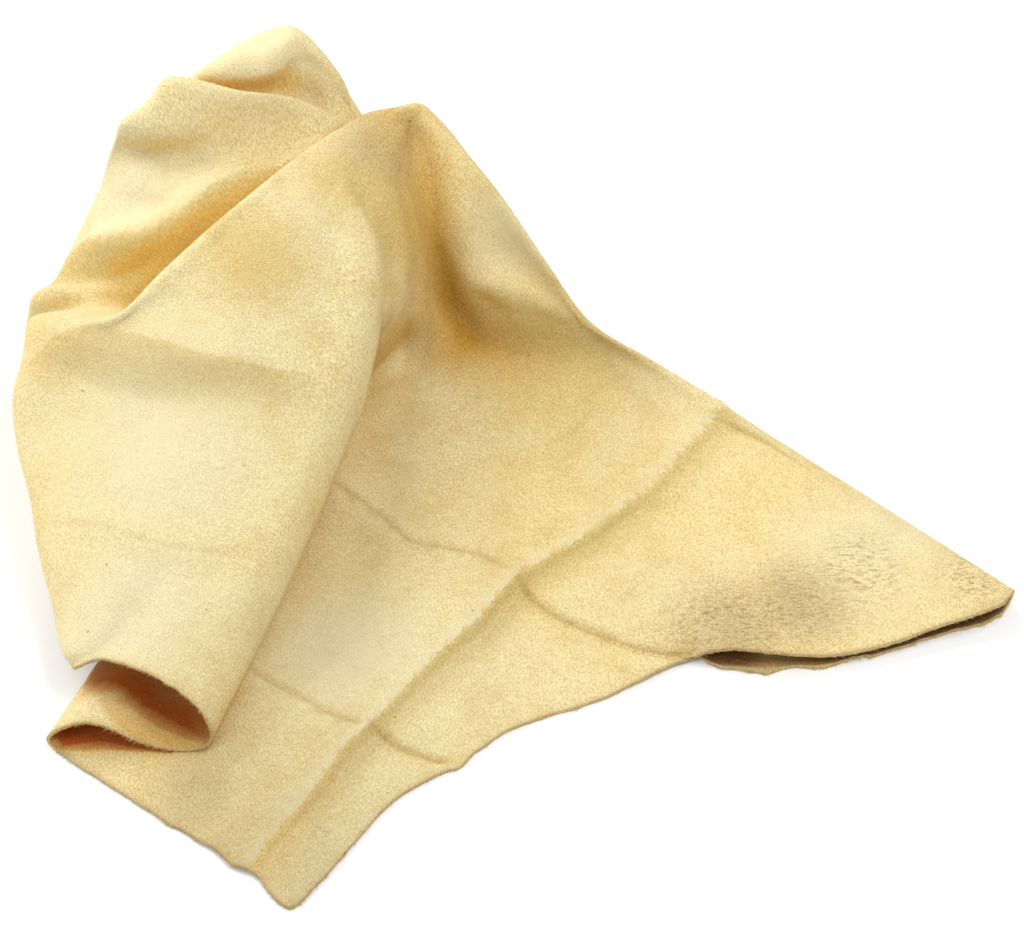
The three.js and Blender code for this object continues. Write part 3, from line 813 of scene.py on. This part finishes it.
# Painted shade: a darker line along the sharp middle of each crease
colour = blend_of(ranged(carried("crease"), 0.1, 1.6, 0, 0.8), colour, CREASE_SHADE)
soiled = times(carried("soil"), ranged(strokes, 0.48, 0.62))
colour = blend_of(times(soiled, SOIL_MOST), colour, STREAK)
colour = blend_of(times(carried("near_edge"), EDGE_MOST), colour, EDGE_BROWN)
fine = plus(times(fibres, 0.5), times(grains, 0.4))
pile = plus(fine, times(tufts, 0.1))
between_fibres = times(ranged(pile, 0.40, 0.58, 1, 0), ranged(carried("pale_and_lit"), 0, 1, 1, 0.6))
colour = blend_of(between_fibres, colour, NAP_SHADE, "MULTIPLY")
specks = ranged(clumps(object_place, 330, detail=1, roughness=0.5), 0.795, 0.81, 0, 0.6)
colour = blend_of(specks, colour, SPECK)
wire(shader.inputs["Base Color"], colour)
wire(shader.inputs["Roughness"], ranged(pile, 0.3, 0.7, 1.0, 0.86))
shader.inputs["Specular IOR Level"].default_value = 0.15
shader.inputs["Sheen Weight"].default_value = 0.12
shader.inputs["Sheen Roughness"].default_value = 0.6
shader.inputs["Sheen Tint"].default_value = (1, 0.93, 0.75, 1)
bump = nodes.new("ShaderNodeBump")
bump.inputs["Strength"].default_value = 1.0
bump.inputs["Distance"].default_value = MM
wire(bump.inputs["Height"], pile)
wire(shader.inputs["Normal"], bump.outputs["Normal"])
skin.data.materials.append(nap)

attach(skin, "root")
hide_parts("chamois_skin")


# The edge fibres
# Fibres that the shears left loose all along the cut edge, each a thin three-sided spike that stands out of
# it. One spike is arrayed, and each copy is then moved to its place on the edge, pointing outwards.

FIBRE_COUNT = 2600
FIBRE_LENGTH = 1.9
FIBRE_RADIUS = 0.15
FIBRE_SHORTEST, FIBRE_LONGEST = 0.4, 1.3
FIBRE_SIDEWAYS, FIBRE_UPWARDS = 0.5, 0.35
ROOT_DEPTH = 0.3
FIBRE_SEED = 5
bpy.ops.mesh.primitive_cone_add(vertices=3, radius1=FIBRE_RADIUS, depth=FIBRE_LENGTH)
fibre_fringe = bpy.context.object
fibre_fringe.name = "edge_fibres"
fibre_fringe.data.name = fibre_fringe.name
spike = np.array([tuple(v.co) for v in fibre_fringe.data.vertices]) + (0, 0, FIBRE_LENGTH / 2)
bpy.ops.object.modifier_add(type="ARRAY")
fibre_fringe.modifiers[-1].count = FIBRE_COUNT
bpy.ops.object.modifier_apply(modifier=fibre_fringe.modifiers[-1].name)


def round_the_edge(values):
    """These values at the points of the cut edge, once round."""
    return np.concatenate([values[0, :-1], values[:-1, -1], values[-1, :0:-1], values[:0:-1, 0]])


edge, leaving, square = (round_the_edge(v) for v in (folded, outwards, normals_of(folded)))
edge_length = np.concatenate([[0], np.cumsum(np.linalg.norm(np.diff(edge, axis=0), axis=1))])
chance = np.random.default_rng(FIBRE_SEED)
along = np.sort(chance.uniform(0, edge_length[-1], FIBRE_COUNT))


def at_roots(values):
    """These values of the cut edge where the fibres stand."""
    return np.stack([np.interp(along, edge_length, values[:, axis]) for axis in range(3)], axis=1)


roots, leaving, square = at_roots(edge), at_roots(leaving), at_roots(square)
beside = np.cross(leaving, square)
each = (FIBRE_COUNT, 1)
heading = leaving + beside * chance.normal(0, FIBRE_SIDEWAYS, each)
heading = heading + square * chance.normal(0, FIBRE_UPWARDS, each)
heading *= chance.uniform(FIBRE_SHORTEST, FIBRE_LONGEST, each) / np.linalg.norm(heading, axis=1)[:, None]
roots += square * chance.uniform(-0.5, 0.5, each) * SKIN_THICKNESS - ROOT_DEPTH * leaving
fibres_at = (
    roots[:, None]
    + spike[None, :, 0, None] * beside[:, None]
    + spike[None, :, 1, None] * square[:, None]
    + spike[None, :, 2, None] * heading[:, None]
)
fibres_at[..., 2] = np.maximum(fibres_at[..., 2], 0)
fibre_fringe.data.vertices.foreach_set("co", (fibres_at * MM).ravel())
fibre_fringe.data.update()
fibre_fringe.data.materials.append(nap)

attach(fibre_fringe, "root")


# Table, light and camera
# A plain pale table top, soft lights at the back left, high at the right and, weaker, at the front left, and
# the camera of the photograph: in front of the skin and 46 degrees above the table. Sizes are in metres.

TABLE_SIZE = 6
bpy.ops.mesh.primitive_plane_add(size=TABLE_SIZE, location=(0, 0, 0))
table = bpy.context.object
table.name = "table_top"
pale = bpy.data.materials.new("pale_table")
pale.use_nodes = True
pale.node_tree.nodes["Principled BSDF"].inputs["Base Color"].default_value = (0.9, 0.9, 0.9, 1)
pale.node_tree.nodes["Principled BSDF"].inputs["Roughness"].default_value = 0.8
table.data.materials.append(pale)

LOOK_AT = Vector((0.006, -0.009, 0))
LIGHT_SIZE = 1.2
for name, location, power in (
    ("soft_right", (0.9, 0, 1.56), 22.5),
    ("soft_left_front", (-1.1, -1.1, 0.9), 11),
    ("soft_left_back", (-1.1, 1.1, 0.9), 30),
):
    bpy.ops.object.light_add(type="AREA", location=location)
    light = bpy.context.object
    light.name = name
    light.data.energy = power
    light.data.size = LIGHT_SIZE
    light.rotation_euler = (LOOK_AT - light.location).to_track_quat("-Z", "Y").to_euler()

ROOM_LIGHT = 0.37
sky = bpy.data.worlds.new("soft_room")
bpy.context.scene.world = sky
sky.use_nodes = True
sky.node_tree.nodes["Background"].inputs["Color"].default_value = (1, 1, 1, 1)
sky.node_tree.nodes["Background"].inputs["Strength"].default_value = ROOM_LIGHT
bpy.context.scene.view_settings.view_transform = "Standard"

CAMERA_HEIGHT = math.radians(46)
CAMERA_AWAY = 1.1
towards_camera = Vector((0, -math.cos(CAMERA_HEIGHT), math.sin(CAMERA_HEIGHT)))
bpy.ops.object.camera_add(location=LOOK_AT + towards_camera * CAMERA_AWAY)
camera = bpy.context.object
camera.rotation_euler = (-towards_camera).to_track_quat("-Z", "Y").to_euler()
camera.data.sensor_fit = "HORIZONTAL"
camera.data.sensor_width = 36
camera.data.lens = 92.1
bpy.context.scene.camera = camera
